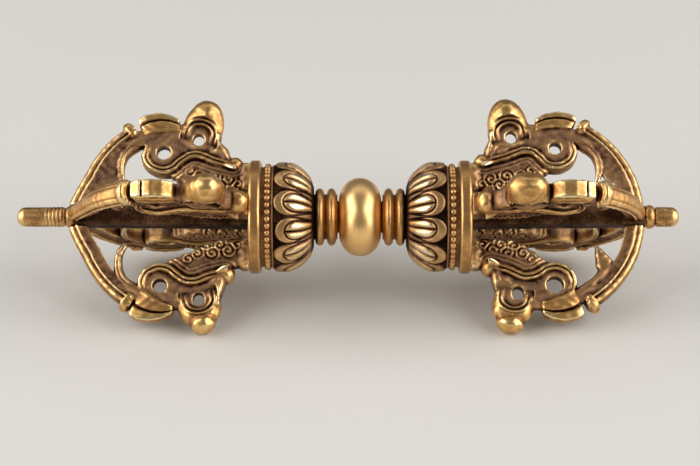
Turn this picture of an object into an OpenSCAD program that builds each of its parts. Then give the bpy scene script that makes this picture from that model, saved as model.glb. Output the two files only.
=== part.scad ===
// Five-pronged dorje vajra of cast and chased brass, lying along X on the curls of its makara prongs.
// Every collar is threaded on the round tang of a central prong, and the two tangs meet in the hub bead.
// The four outer prongs of an end are tenoned into its moon disc and close on the central prong.
// Lengths are in millimetres and angles in degrees. The origin is the middle of the hub bead.

/* [Hub bead] */
// Radius of the polished bead at its middle
hub_r = 8.9; // [7.5:0.1:11]
// Half of the bead's length along the axis
hub_half = 5.1; // [4:0.1:6.5]

/* [Tang] */
// Radius of the round tang that carries the collars
tang_r = 2; // [1.5:0.1:2.2]
// Clearance of every fit
fit = 0.05; // [0.02:0.01:0.12]

/* [Neck rings] */
// Radius of a neck ring at its crest
ring_r = 6.5; // [5.5:0.1:7.5]
// Width of a neck ring along the axis
ring_w = 2.65; // [2:0.05:3.5]
// Depth of the groove beside a ring's crest
ring_groove = 1.1; // [0.5:0.1:1.5]

/* [Lotus collar] */
// Length of the petalled dome along the axis
lotus_len = 8.8; // [7:0.1:11]
// Radius of the dome at the neck
lotus_neck_r = 6.9; // [6:0.1:8]
// Distance from the floor of the petal tips to the rim of the disc
lotus_inset = 0.7; // [0.4:0.05:1.2]
// Number of petals round a collar
petals = 12; // [8:1:14]
// Height of a petal's lobes
petal_relief = 0.7; // [0.3:0.05:1]
// Angle from a prong to the nearest joint of two petals
lotus_turn = 15; // [0:1:44]

/* [Pearl band] */
// Width of the band along the axis
band_w = 3; // [2.4:0.1:4]
// Distance from the floor that carries the pearls to the rim of the disc
band_inset = 1.4; // [1:0.1:2]
// Wall of the band between its floor and the spigot
band_wall = 1.2; // [0.8:0.1:2]
// Radius of a pearl
pearl_r = 0.75; // [0.5:0.05:0.85]
// Number of pearls round a band
pearls = 46; // [30:1:48]

/* [Moon disc] */
// Radius of the disc
disc_r = 12.8; // [12:0.1:14]
// Thickness of the disc
disc_t = 2.7; // [2:0.1:4]
// Rounding of the disc's rim
disc_edge = 0.8; // [0.2:0.1:0.9]

/* [Central prong] */
// Side of the square shaft where it stands on the disc
shaft_base = 4.8; // [4.6:0.1:6]
// Side of the square shaft under the tip ring
shaft_top = 4.2; // [4:0.1:4.6]
// Radius of the free spike
spike_r = 1.95; // [1.6:0.05:2]
// Free length of the left spike past its ring
left_spike = 11.2; // [6:0.1:16]
// Free length of the right spike past its ring
right_spike = 5.8; // [4:0.1:16]

/* [Tip ring] */
// Radius of the ring at its crest
tip_ring_r = 2.7; // [2.5:0.05:3.2]
// Width of the ring along the axis
tip_ring_w = 2; // [1.2:0.1:3]

/* [Prong cage] */
// Radius of the circle that the backs of the prongs follow
cage_r = 24.8; // [22:0.1:28]
// Distance from the disc to the middle of that circle
cage_u = 14.6; // [13:0.1:17]

/* [Prong foot] */
// Distance from the axis to the inner face of a foot
foot_in = 6; // [5.5:0.1:7]
// Distance from a foot's outer face to the rim of the disc
foot_inset = 0.6; // [0.2:0.1:1.5]
// Width of a foot across the prong
foot_w = 5.2; // [4.4:0.1:6]
// Height of a foot above the disc
foot_h = 2.4; // [1.5:0.1:3]
// Radius of the roll across the top of a foot
roll_r = 1.9; // [1.5:0.1:2.2]
// Width of the roll across the prong
roll_w = 5.8; // [5:0.1:6.6]
// Bevel at the ends of the roll
roll_bevel = 0.7; // [0.3:0.1:1]
// Width of a tenon across the prong
tenon_w = 3.2; // [2:0.1:4]
// Height of a tenon away from the axis
tenon_h = 3.6; // [2:0.1:4.4]

/* [Prong head] */
// Angle round the cage at which the trunk curl stands
curl_angle = 101.5; // [97:0.5:106]
// Depth of the curl's middle inside the cage circle
curl_depth = 0.1; // [0:0.1:0.6]
// Radius of the trunk curl
curl_r = 3.2; // [2.9:0.05:3.5]
// Depth of the flat worn on a curl by the table
rest_flat = 0.2; // [0.1:0.05:0.5]
// Depth of the open loop under the curl inside the cage circle
loop_depth = 6.2; // [5.7:0.1:6.8]
// Radius of the hole through the loop
loop_hole_r = 1.3; // [0.8:0.1:1.6]
// Width of the hood round the loop
hood_w = 9.3; // [8.6:0.1:9.8]
// Height of the hood from the top of the curl down
hood_h = 14; // [13:0.1:15]
// Thickness of the hood across the prong
hood_t = 5.8; // [5.2:0.1:6]
// Depth of the oval recess in either flank of the hood
hood_recess = 1; // [0.5:0.1:1.2]
// Width of the arch that the recess leaves at the hood's edge
hood_arch = 1.1; // [0.8:0.1:1.4]
// Angle round the cage of the jaw's middle
jaw_angle = 72; // [70:0.5:74]
// Depth of the jaw's middle inside the cage circle
jaw_depth = 8; // [7.4:0.1:8.6]
// Radius of the lip where it winds round the jaw
jaw_r = 4.3; // [4:0.1:4.6]
// Radius of the hole through the jaw
jaw_hole_r = 1.6; // [1:0.1:1.9]
// Thickness of the web that the lip, nape and brow enclose
web_t = 3.6; // [2.4:0.1:3.8]
// Width of the lip's ridge
lip_w = 2.2; // [1.6:0.1:2.6]
// Distance from the middle of the loop to the crown of the lip
lip_drop = 4.3; // [4:0.1:4.6]
// Thickness of the lip across the prong
lip_t = 5.6; // [4.4:0.1:6.4]

/* [Prong snout and blade] */
// Angle round the cage at the root of the snout
snout_start = 86; // [84:0.5:88]
// Angle round the cage at the end of the snout
snout_end = 63.5; // [62.5:0.5:66]
// Depth of the snout at its middle
snout_d = 4.2; // [3.4:0.1:4.6]
// Width of the snout across the prong
snout_w = 4.4; // [4.2:0.1:5.6]
// Angle round the cage of the collar at the blade's root
collar_angle = 57.5; // [56:0.5:59]
// Width of the collar along the blade
collar_w = 1.6; // [1.2:0.1:2]
// Height of the collar over the blade
collar_lift = 0.35; // [0.2:0.05:0.8]
// Depth of the blade from its crest to its inner edge
blade_d = 4.4; // [4:0.1:5]
// Width of the blade at its root
blade_root_w = 5; // [4.6:0.1:5.6]
// Width of the blade at its tip
blade_tip_w = 2.6; // [2:0.1:3.4]
// Free length of the tusk that points in from the blade
tusk_len = 4.7; // [3.5:0.1:5.5]
// Thickness of the tusk across the prong at its root
tusk_t = 3.6; // [3:0.1:4]

/* [Hidden] */
$fn = 48;
ENDS = ["left", "right"];
SIDES = ["front_upper", "front_lower", "back_upper", "back_lower"];
RINGS = ["inner", "outer"];

// Colours of polished, satin and darkened brass
POLISHED = "#d9ae5a";
SATIN = "#b98a45";
DARKENED = "#5b4128";

// Stations along the axis, from the middle of the hub bead outwards
bore_r = tang_r + fit;
lotus_a = hub_half + len(RINGS) * ring_w;
band_a = lotus_a + lotus_len;
disc_a = band_a + band_w;
foot_a = disc_a + disc_t;
cage_end = cage_u + cage_r;
tip_ring_a = foot_a + cage_end;
lotus_rim_r = disc_r - lotus_inset;
band_r = disc_r - band_inset;
spigot_r = band_r - band_wall;

// Where two rounds meet, one reaches this far into the other
bite = 0.4;

// Point of the prong's plane at a distance and angle from a middle
function around(middle, radius, angle) = middle + radius * [cos(angle), sin(angle)];

// Point of the prong's plane by its angle round the cage and its depth inside the cage circle
function cage_point(angle, depth) = around([cage_u, 0], cage_r - depth, angle);

// Row of a sweep: point of the prong's plane, half width in the plane, half thickness across it
function row(point, half, thick) = [point[0], point[1], half, thick];

// Smooth curve through control rows
function between(a, b, c, d, t) =
    0.5 * (2 * b + (c - a) * t + (2 * a - 5 * b + 4 * c - d) * t ^ 2 + (3 * b - a - 3 * c + d) * t ^ 3);
function curve(rows, steps) = [
    for (i = [0 : len(rows) - 2])
        for (s = [0 : steps - 1])
            between(rows[max(i - 1, 0)], rows[i], rows[i + 1], rows[min(i + 2, len(rows) - 1)], s / steps),
    rows[len(rows) - 1]
];

// Triangles of a closed tube of rings, each with the same number of points
function tube_faces(rings, sides) = concat(
    [for (i = [0 : rings - 2]) for (k = [0 : sides - 1])
        let (a = i * sides + k, b = i * sides + (k + 1) % sides)
        each [[a, b + sides, b], [a, a + sides, b + sides]]],
    [[for (k = [0 : sides - 1]) k]],
    [[for (k = [sides - 1 : -1 : 0]) (rings - 1) * sides + k]]
);

// Round band swept along a curve of the prong's plane
module sweep(rows, steps, sides) {
    path = curve(rows, steps);
    last = len(path) - 1;
    points = [
        for (i = [0 : last])
            let (along = path[min(i + 1, last)] - path[max(i - 1, 0)])
            let (across = [-along[1], along[0]] / norm([along[0], along[1]]))
            for (k = [0 : sides - 1])
                let (turn = 360 * (k + 0.5) / sides)
                let (out = path[i][2] * cos(turn))
                [path[i][0] + across[0] * out, path[i][1] + across[1] * out, path[i][3] * sin(turn)]
    ];
    polyhedron(points, tube_faces(last + 1, sides));
}

// Flat-sided solid of rings round the Z axis, each with a height and a radius
module spun(rings, sides = 12) {
    points = [
        for (ring = rings) for (k = [0 : sides - 1])
            [ring[1] * cos(360 * k / sides), ring[1] * sin(360 * k / sides), ring[0]]
    ];
    polyhedron(points, tube_faces(len(rings), sides));
}

// Flat-sided round bar across the prong
module bar(middle, radius, width)
    linear_extrude(height = width, center = true)
        polygon([for (turn = [0 : 20 : 340]) around(middle, radius, turn)]);

// Profile turned about the X axis: x of the profile is the radius and y the station along the axis
module turned() rotate([0, 90, 0]) rotate_extrude($fn = 96) children();

// The right end points to +X and the left end is the same end turned about, with angles round the axis reversed
module at_end(end) rotate([0, end == "left" ? 180 : 0, 0]) children();
function handed(end) = end == "left" ? -1 : 1;

// Bead: a round rim closed to the tang, with flat ends for the neck rings
module hub_bead() color(POLISHED)
    turned() intersection() {
        translate([hub_r - hub_half - bite / 2, 0]) circle(r = hub_half + bite / 2);
        translate([bore_r, -hub_half]) square([hub_r, 2 * hub_half]);
    }

// Ring: a sleeve on the tang with a round crest between two half grooves
module neck_ring(index) color(SATIN)
    turned() translate([0, hub_half + index * ring_w]) {
        translate([bore_r, 0]) square([ring_r - ring_groove - bore_r, ring_w]);
        intersection() {
            translate([ring_r - ring_w * 0.42, ring_w / 2]) circle(r = ring_w * 0.42);
            translate([bore_r, 0]) square([ring_r, ring_w]);
        }
    }

// Dome of the collar at a share t of its length
function dome(t) =
    lotus_neck_r + (lotus_rim_r - lotus_neck_r) * (1 - (1 - min(1, t / 0.8)) ^ 2) ^ 0.8;

// Lift of a petal at a share t of the dome's length and q across the petal, 0 in its middle and 1 at its joint:
// two lobes with a groove between, a narrow lobe over each joint and a rim at the tip
function petal_lift(t, q) =
    let (lobe = max(0, cos(90 * (abs(q) - 0.4) / 0.4)))
    let (joint = 0.7 * max(0, cos(90 * (1 - abs(q)) / 0.2)))
    let (along = t < 0.75 ? sin(180 * t / 0.75) : 0)
    let (tip = t < 0.75 ? 0 : sin(720 * (t - 0.75)) * (abs(q) < 0.9 ? 1 : 0.3))
    petal_relief * (max(lobe, joint) * along + tip);

// Lotus collar: petalled dome on a spigot, bored for the tang
module lotus_collar(end) color(SATIN) {
    rows = 9;
    columns_per_petal = 8;
    columns = petals * columns_per_petal;
    points = [
        for (i = [0 : rows]) for (k = [0 : columns - 1])
            let (t = i / rows)
            let (q = 2 * (k % columns_per_petal) / columns_per_petal - 1)
            let (radius = dome(t) + petal_lift(t, q))
            let (turn = 360 * k / columns + handed(end) * (45 + lotus_turn))
            [lotus_a + lotus_len * t, radius * cos(turn), radius * sin(turn)]
    ];
    difference() {
        union() {
            polyhedron(points, tube_faces(rows + 1, columns));
            turned() translate([0, band_a - bite]) square([spigot_r, band_w + bite]);
        }
        turned() translate([0, lotus_a - bite]) square([bore_r, lotus_len + band_w + 2 * bite]);
    }
}

// Band of pearls between two low rims, on the collar's spigot
module pearl_band() color(SATIN) {
    rim_w = band_w / 2 - pearl_r - fit;
    turned() translate([spigot_r + fit, band_a]) {
        square([band_wall - fit, band_w]);
        square([band_wall + pearl_r / 2, rim_w]);
    }
    for (k = [0 : pearls - 1])
        rotate([360 * k / pearls, 0, 0])
            translate([band_a + band_w / 2, band_r, 0])
                rotate([90, 0, 0]) sphere(r = pearl_r);
}

// Tenon of a prong, or the mortise for it with a clearance round it
module tenon(room) {
    middle = (foot_in + disc_r - foot_inset) / 2;
    translate([-disc_t - room, middle - tenon_h / 2 - room, -tenon_w / 2 - room])
        cube([disc_t + bite + room, tenon_h + 2 * room, tenon_w + 2 * room]);
}

// Places of the four prongs round the axis, and which of them a name means
function prong_turn(side) = 45 + 90 * search([side], ["back_upper", "front_upper", "front_lower", "back_lower"])[0];

// Moon disc with a rounded rim, bored for the tang and mortised for four prongs
module moon_disc() color(SATIN)
    difference() {
        turned() translate([0, disc_a]) {
            translate([bore_r, 0]) square([disc_r - disc_edge - bore_r, disc_t]);
            translate([bore_r, disc_edge]) square([disc_r - bore_r, disc_t - 2 * disc_edge]);
            for (edge = [disc_edge, disc_t - disc_edge])
                translate([disc_r - disc_edge, edge]) circle(r = disc_edge);
        }
        for (side = SIDES)
            rotate([prong_turn(side), 0, 0]) translate([foot_a, 0, 0]) tenon(fit);
    }

// Central prong: tang, square shaft that tapers, and a round spike with a round end
module central_prong(spike) color(DARKENED) {
    shaft = [[0, -shaft_base / 2], [cage_end, -shaft_top / 2], [cage_end, shaft_top / 2], [0, shaft_base / 2]];
    turned() translate([0, fit]) square([tang_r, foot_a + bite]);
    translate([foot_a, 0, 0]) rotate([45, 0, 0])
        intersection() {
            linear_extrude(height = shaft_base, center = true) polygon(shaft);
            rotate([90, 0, 0]) linear_extrude(height = shaft_base, center = true) polygon(shaft);
        }
    spike_end = tip_ring_a + tip_ring_w + spike;
    turned() translate([0, tip_ring_a - bite]) square([spike_r, spike_end - spike_r - tip_ring_a + bite]);
    translate([spike_end - spike_r, 0, 0]) sphere(r = spike_r);
}

// Ring that closes the prong ends on the central prong
module tip_ring() color(SATIN)
    turned() translate([0, tip_ring_a]) {
        crest = (tip_ring_r - spike_r - fit) / 2;
        translate([spike_r + fit, 0]) square([crest, tip_ring_w]);
        intersection() {
            translate([tip_ring_r - tip_ring_w / 2, tip_ring_w / 2]) circle(r = tip_ring_w / 2);
            translate([spike_r + fit, 0]) square([tip_ring_r, tip_ring_w]);
        }
    }

// Middles of the roll, the trunk curl, the loop under it and the jaw, in the prong's plane
roll_c = [foot_h + roll_r / 2, disc_r - foot_inset];
curl_c = cage_point(curl_angle, curl_depth);
loop_c = cage_point(curl_angle, loop_depth);
jaw_c = cage_point(jaw_angle, jaw_depth);

// Middle of the hood, half its height under the top of the curl, and the crown of the lip
hood_c = cage_point(curl_angle, curl_depth - curl_r + hood_h / 2);
lip_c = around(loop_c, lip_drop, 298);

// Foot that stands on the disc, with its tenon and the roll across its top
module foot() {
    tenon(-fit);
    translate([0, foot_in, -foot_w / 2])
        cube([foot_h, disc_r - foot_inset - foot_in, foot_w]);
    translate(concat(roll_c, 0))
        spun([
            [-roll_w / 2, roll_r - roll_bevel], [roll_bevel - roll_w / 2, roll_r],
            [roll_w / 2 - roll_bevel, roll_r], [roll_w / 2, roll_r - roll_bevel]
        ]);
}

// Leaf that rises from the foot and runs under the lip to the jaw
module leaf() {
    middle = (foot_in + disc_r - foot_inset) / 2;
    half = middle - foot_in;
    sweep([
        row([bite, middle], half - 0.1, foot_w / 2 - 0.2),
        row([foot_h + 2.5, middle - 0.2], half + 0.2, foot_w / 2 - 0.1),
        row(around(loop_c, loop_depth + 2, 265), half + 0.6, foot_w / 2 - 0.1),
        row(around(jaw_c, jaw_r + 1.4, 227), half - 0.6, foot_w / 2 - 0.2),
        row(around(jaw_c, jaw_r + 0.1, 262), 0.7, foot_w / 2 - 0.6)
    ], 2, 8);
}

// Lip: the long ridge from the roll, under the loop and round the jaw
lip_rows = let (half = lip_w / 2, thick = lip_t / 2) [
    row(roll_c, half, thick - 0.5),
    row((roll_c + lip_c) / 2 + [-0.6, 0.35], half, thick - 0.2),
    row(lip_c - [1.5, 0], half, thick),
    row(lip_c + [1.4, -0.1], half, thick),
    row(around(jaw_c, jaw_r, 218), half, thick),
    row(around(jaw_c, jaw_r, 250), half, thick),
    row(around(jaw_c, jaw_r, 285), half, thick - 0.1),
    row(around(jaw_c, jaw_r, 320), half, thick - 0.2),
    row(around(jaw_c, jaw_r - 0.1, 352), half, thick - 0.4),
    row(around(jaw_c, jaw_r - 0.5, 385), half * 0.8, thick - 0.8)
];

// Nape: the hollow sweep from the roll up the back of the hood
nape_rows = let (reach = hood_w / 2 - 0.8) [
    row(roll_c + [0.2, 0.4], 1.4, foot_w / 2 - 0.4),
    row((roll_c + around(loop_c, reach - 0.8, 195)) / 2, 1.6, foot_w / 2 - 0.4),
    row(around(loop_c, reach, 192), 1.3, foot_w / 2 - 0.3),
    row(around(loop_c, reach, 168), 0.9, foot_w / 2 - 0.5)
];

// Brow: the beam from the loop under the snout to the root of the blade
brow_rows = [
    row(around(loop_c, hood_w / 2 - 1.4, 30), 2, 2),
    row(cage_point(snout_start + 2, 5.2), 2, 2),
    row(cage_point((snout_start + snout_end) / 2, 4.3), 1.7, 2),
    row(cage_point(snout_end + 2, 4), 1.6, 2.1),
    row(cage_point(collar_angle, 3.6), 1.9, 2.1),
    row(cage_point(collar_angle - 8, 2.8), 1.2, 1.8)
];

// Web: what the nape, the brow and the lip enclose
module web() {
    outline = [
        for (r = concat(curve(nape_rows, 1), curve(brow_rows, 1), [for (i = [len(lip_rows) - 1 : -1 : 1]) lip_rows[i]]))
            [r[0], r[1]]
    ];
    linear_extrude(height = web_t, center = true) polygon(outline);
}

// Trunk curl: a ball at the top of the hood
module curl()
    translate(concat(curl_c, 0))
        spun([for (tilt = [-75 : 30 : 75]) [curl_r * sin(tilt), curl_r * cos(tilt)]]);

// Hood: a dome over the loop, with an oval recess in either flank that leaves an arch round the loop
module hood() {
    recess = [hood_w / 2 - hood_arch, (hood_h - loop_depth) / 2 - hood_arch];
    translate(concat(hood_c, 0)) rotate([0, 0, curl_angle - 90])
        difference() {
            scale([hood_w / 2, hood_h / 2, hood_t / 2])
                spun([for (tilt = [-60, -35, 35, 60]) [sin(tilt) / sin(60), sqrt(cos(tilt) / cos(35))]], 16);
            for (flank = [-1, 1])
                translate([0, -hood_arch, flank * hood_t / 2]) scale([recess[0], recess[1], 1])
                    bar([0, 0], 1, 2 * hood_recess);
        }
}

// Snout: a lens that lies along the cage circle, cut across near its end
module snout() {
    reach = snout_start - snout_end;
    cut_angle = snout_end + reach / 4;
    difference() {
        sweep([
            for (share = [0 : 0.25 : 1])
                let (swell = sin(25 + 110 * share))
                let (wide = 0.8 + 0.2 * swell)
                row(cage_point(snout_start - reach * share, 0.4 * snout_d), snout_d / 2 * swell, snout_w / 2 * wide)
        ], 2, 8);
        translate(concat(cage_point(cut_angle, 0), 0)) rotate([0, 0, cut_angle])
            cube([1, 0.7, snout_w + 1], center = true);
    }
}

// Section of the blade at an angle round the cage: crest, shoulders and a narrow inner edge
function blade_section(angle) =
    let (share = angle / collar_angle)
    let (half = (blade_tip_w + (blade_root_w - blade_tip_w) * share ^ 0.7) / 2)
    let (shoulder = blade_d * (0.16 + 0.34 * share))
    [[0, 0], [0.6, 0.25 * shoulder], [1, shoulder], [0.8, 0.7 * blade_d], [0.45, blade_d],
     [-0.45, blade_d], [-0.8, 0.7 * blade_d], [-1, shoulder], [-0.6, 0.25 * shoulder]]
    * [[half, 0], [0, 1]];

// Blade: a loft along the cage circle from inside the collar to its seat on the central shaft
module blade() {
    rings = 12;
    seat = shaft_base / 2 + (shaft_top - shaft_base) / 2 * (cage_end - blade_d) / cage_end + fit;
    last = asin(seat / cage_r);
    points = [
        for (i = [0 : rings])
            let (angle = collar_angle + 3 - (collar_angle + 3 - last) * i / rings)
            for (corner = blade_section(angle))
                let (place = cage_point(angle, corner[1]))
                [place[0], i == rings ? seat : place[1], corner[0]]
    ];
    polyhedron(points, tube_faces(rings + 1, len(blade_section(0))));
}

// Collar round the root of the blade
module collar() {
    radius = blade_root_w / 2 + collar_lift;
    collar_round = 0.13 * collar_w;
    translate(concat(cage_point(collar_angle, blade_d / 2), 0))
        rotate([-90, 0, collar_angle])
            spun([[-collar_w / 2, radius - collar_round], [0, radius], [collar_w / 2, radius - collar_round]]);
}

// Tusk that leaves the brow under the blade's root and hooks in towards the axis
module tusk() {
    root = cage_point(collar_angle - 19, blade_d + 1.5);
    sweep([
        row(cage_point(snout_end + 6, blade_d), 1.2, tusk_t / 2),
        row(cage_point(collar_angle, blade_d + 0.3), 1.2, tusk_t / 2),
        row(cage_point(collar_angle - 10.5, blade_d + 0.3), 1.15, 0.45 * tusk_t),
        row(root, 0.95, 0.38 * tusk_t),
        row(around(root, 0.64 * tusk_len, 262), 0.65, 0.28 * tusk_t),
        row(around(root, tusk_len, 257), 0.25, 0.14 * tusk_t)
    ], 1, 6);
}

// Flats worn on both shoulders of a curl, where two curls of each end meet the table
module rest_flats()
    for (turn = [-45, 45])
        translate(concat(curl_c, 0)) rotate([turn, 0, 0])
            translate([-curl_r, curl_r - rest_flat, -curl_r]) cube(2 * curl_r);

// Outer prong: a makara head whose open jaw holds a blade
module makara_prong() color(POLISHED)
    difference() {
        union() {
            foot();
            leaf();
            sweep(lip_rows, 2, 6);
            sweep(nape_rows, 2, 6);
            sweep(brow_rows, 1, 6);
            web();
            hood();
            curl();
            snout();
            collar();
            blade();
            tusk();
        }
        bar(loop_c, loop_hole_r, 2 * foot_w);
        bar(jaw_c, jaw_hole_r, 2 * foot_w);
        rest_flats();
    }

hub_bead();
for (end = ENDS) {
    for (index = [0 : len(RINGS) - 1])
        at_end(end) neck_ring(index);
    at_end(end) lotus_collar(end);
    at_end(end) pearl_band();
    at_end(end) moon_disc();
    at_end(end) central_prong(end == "left" ? left_spike : right_spike);
    at_end(end) tip_ring();
    for (side = SIDES)
        at_end(end) rotate([handed(end) * prong_turn(side), 0, 0]) translate([foot_a, 0, 0]) makara_prong();
}
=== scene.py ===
"""Looks of a five-pronged dorje vajra of cast, chased and polished brass.

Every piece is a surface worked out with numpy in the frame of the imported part. The axis is X and the hub
bead is at the origin. Lengths are in millimetres until a mesh is made, and angles in degrees. An end is
built pointing to +X, and the left end is the same end turned half round about Y.
"""

import math

import bpy
import numpy as np
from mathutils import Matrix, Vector


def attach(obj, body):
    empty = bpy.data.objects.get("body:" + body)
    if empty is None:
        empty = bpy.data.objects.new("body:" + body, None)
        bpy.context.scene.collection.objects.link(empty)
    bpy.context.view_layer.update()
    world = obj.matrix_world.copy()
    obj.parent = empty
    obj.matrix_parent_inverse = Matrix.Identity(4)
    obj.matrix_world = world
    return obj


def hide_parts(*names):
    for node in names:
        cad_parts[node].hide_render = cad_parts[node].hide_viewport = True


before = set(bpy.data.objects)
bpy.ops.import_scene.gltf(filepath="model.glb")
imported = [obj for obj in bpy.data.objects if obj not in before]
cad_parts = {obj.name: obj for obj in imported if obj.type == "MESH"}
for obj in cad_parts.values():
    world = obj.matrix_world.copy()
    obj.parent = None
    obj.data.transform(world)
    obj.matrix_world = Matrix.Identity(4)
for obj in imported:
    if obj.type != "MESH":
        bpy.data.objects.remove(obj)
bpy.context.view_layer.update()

MM = 0.001
# Radius of a closed pole, and the least divisor
TINY = 1e-3

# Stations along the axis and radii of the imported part, from the bead to the spike
HUB_R = 8.9
HUB_HALF = 5.1
TANG_R = 2.0
FIT = 0.05
BORE_R = TANG_R + FIT
RING_R = 6.5
RING_W = 2.65
LOTUS_A = HUB_HALF + 2 * RING_W
LOTUS_LEN = 8.8
LOTUS_NECK_R = 6.9
LOTUS_RIM_R = 12.1
LOTUS_TURN = 15
PETALS = 12
PETAL_RELIEF = 0.7
SPIGOT_R = 10.2
BAND_A = LOTUS_A + LOTUS_LEN
BAND_W = 3.0
BAND_R = 11.4
PEARLS = 46
PEARL_R = 0.75
DISC_A = BAND_A + BAND_W
DISC_W = 2.7
DISC_R = 12.8
FOOT_A = DISC_A + DISC_W
SHAFT_BASE = 4.8
SHAFT_TOP = 4.2
CAGE_U = 14.6
CAGE_R = 24.8
CAGE_END = CAGE_U + CAGE_R
TIP_RING_A = FOOT_A + CAGE_END
TIP_RING_W = 2.0
TIP_RING_R = {"left": 2.5, "right": 2.7}
SPIKE_R = 1.95
SPIKE_END = {"left": 77.48, "right": 72.08}
NOSE = 1.9
PRONG_TURN = {"back_upper": 45, "front_upper": 135, "front_lower": 225, "back_lower": 315}


# Meshes


def quads_of(rows, columns):
    """Quads of a grid whose rows and columns both close on themselves, by the numbers of its points."""
    index = np.arange(rows * columns).reshape(rows, columns)
    down, right = np.roll(index, -1, 0), np.roll(index, -1, 1)
    across = np.roll(down, -1, 1)
    return np.stack([index, right, across, down], -1).reshape(-1, 4)


def revolved(station, radius, turn):
    """Points at stations along X, by their radii and their turns about it in radians."""
    station = np.broadcast_to(station, radius.shape)
    return np.stack([station, radius * np.cos(turn), radius * np.sin(turn)], -1).reshape(-1, 3)


def closed_inside(station, radius, inner):
    """Grids of stations and radii with the rows added that close a piece round its inside."""
    columns = radius.shape[1]
    inner = np.array(inner)
    station = np.concatenate([station, np.repeat(inner[:, :1], columns, 1)])
    radius = np.concatenate([radius, np.repeat(inner[:, 1:], columns, 1)])
    return station, radius


def at_end(points, end):
    """Points of the right end, or of the left end by half a turn about Y."""
    return points if end == "right" else points * np.array([-1, 1, -1])


def piece(name, points, faces, wear, gold, finish):
    """Makes the mesh of a piece, which stands for the CAD node of its name.

    Points are in millimetres. Wear goes with each point: 0 in a deep recess, 0.5 on a plain face, 1 on a
    rubbed edge. So does gold: 0 on chased faces and 1 on the smooth ones that handling keeps yellow. On the
    front upper prongs wear also holds painted shade and a painted highlight.
    """
    mesh = bpy.data.meshes.new(name)
    mesh.vertices.add(len(points))
    mesh.vertices.foreach_set("co", (points * MM).astype(np.float32).ravel())
    mesh.loops.add(faces.size)
    mesh.loops.foreach_set("vertex_index", faces.astype(np.int32).ravel())
    mesh.polygons.add(len(faces))
    mesh.polygons.foreach_set("loop_start", np.arange(0, faces.size, faces.shape[1], dtype=np.int32))
    mesh.update(calc_edges=True)
    mesh.polygons.foreach_set("use_smooth", np.ones(len(faces), bool))
    for key, values in (("wear", wear.ravel()), ("gold", np.broadcast_to(gold, len(points)))):
        layer = mesh.attributes.new(key, "FLOAT", "POINT")
        layer.data.foreach_set("value", np.clip(values, 0, 1).astype(np.float32))
    mesh.validate()
    mesh.materials.append(finish)
    obj = bpy.data.objects.new(name + "_brass", mesh)
    bpy.context.scene.collection.objects.link(obj)
    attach(obj, "root")
    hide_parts(name)


def smooth_step(value, low, high):
    """Rises from 0 at low to 1 at high with level ends."""
    share = np.clip((value - low) / (high - low), 0, 1)
    return share * share * (3 - 2 * share)


# Finishes

# Widths of the patterns in the brass: tarnish, casting grain, and hair scratches of 0.1 mm, which are
# drawn twice as coarse so that they show. Then the depth of grain and scratches
BLOTCH_W = 4.0
GRAIN_W = 0.5
SCRATCH_W = 0.2
SKIN_DEPTH = 0.05


def linear(colour):
    """Linear colour with full alpha from an sRGB hex value."""
    channels = np.array([int(colour[i:i + 2], 16) for i in (1, 3, 5)]) / 255
    low, high = channels / 12.92, ((channels + 0.055) / 1.055) ** 2.4
    return (*np.where(channels <= 0.04045, low, high), 1.0)


def add(tree, kind, settings, links=()):
    """Adds a node of a kind, sets its sockets and properties by name or number, and links outputs to it."""
    node = tree.nodes.new(kind)
    for key, value in settings.items():
        if isinstance(key, int) or key in node.inputs:
            node.inputs[key].default_value = value
        else:
            setattr(node, key, value)
    for key, output in dict(links).items():
        tree.links.new(output, node.inputs[key])
    return node


def stops(node, colours):
    """Gives a colour ramp its stops: pairs of a place and an sRGB hex value or a grey level."""
    ramp = node.color_ramp
    while len(ramp.elements) < len(colours):
        ramp.elements.new(1.0)
    for element, (place, colour) in zip(ramp.elements, colours):
        element.position = place
        element.color = linear(colour) if isinstance(colour, str) else (colour, colour, colour, 1)
    return node


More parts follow.
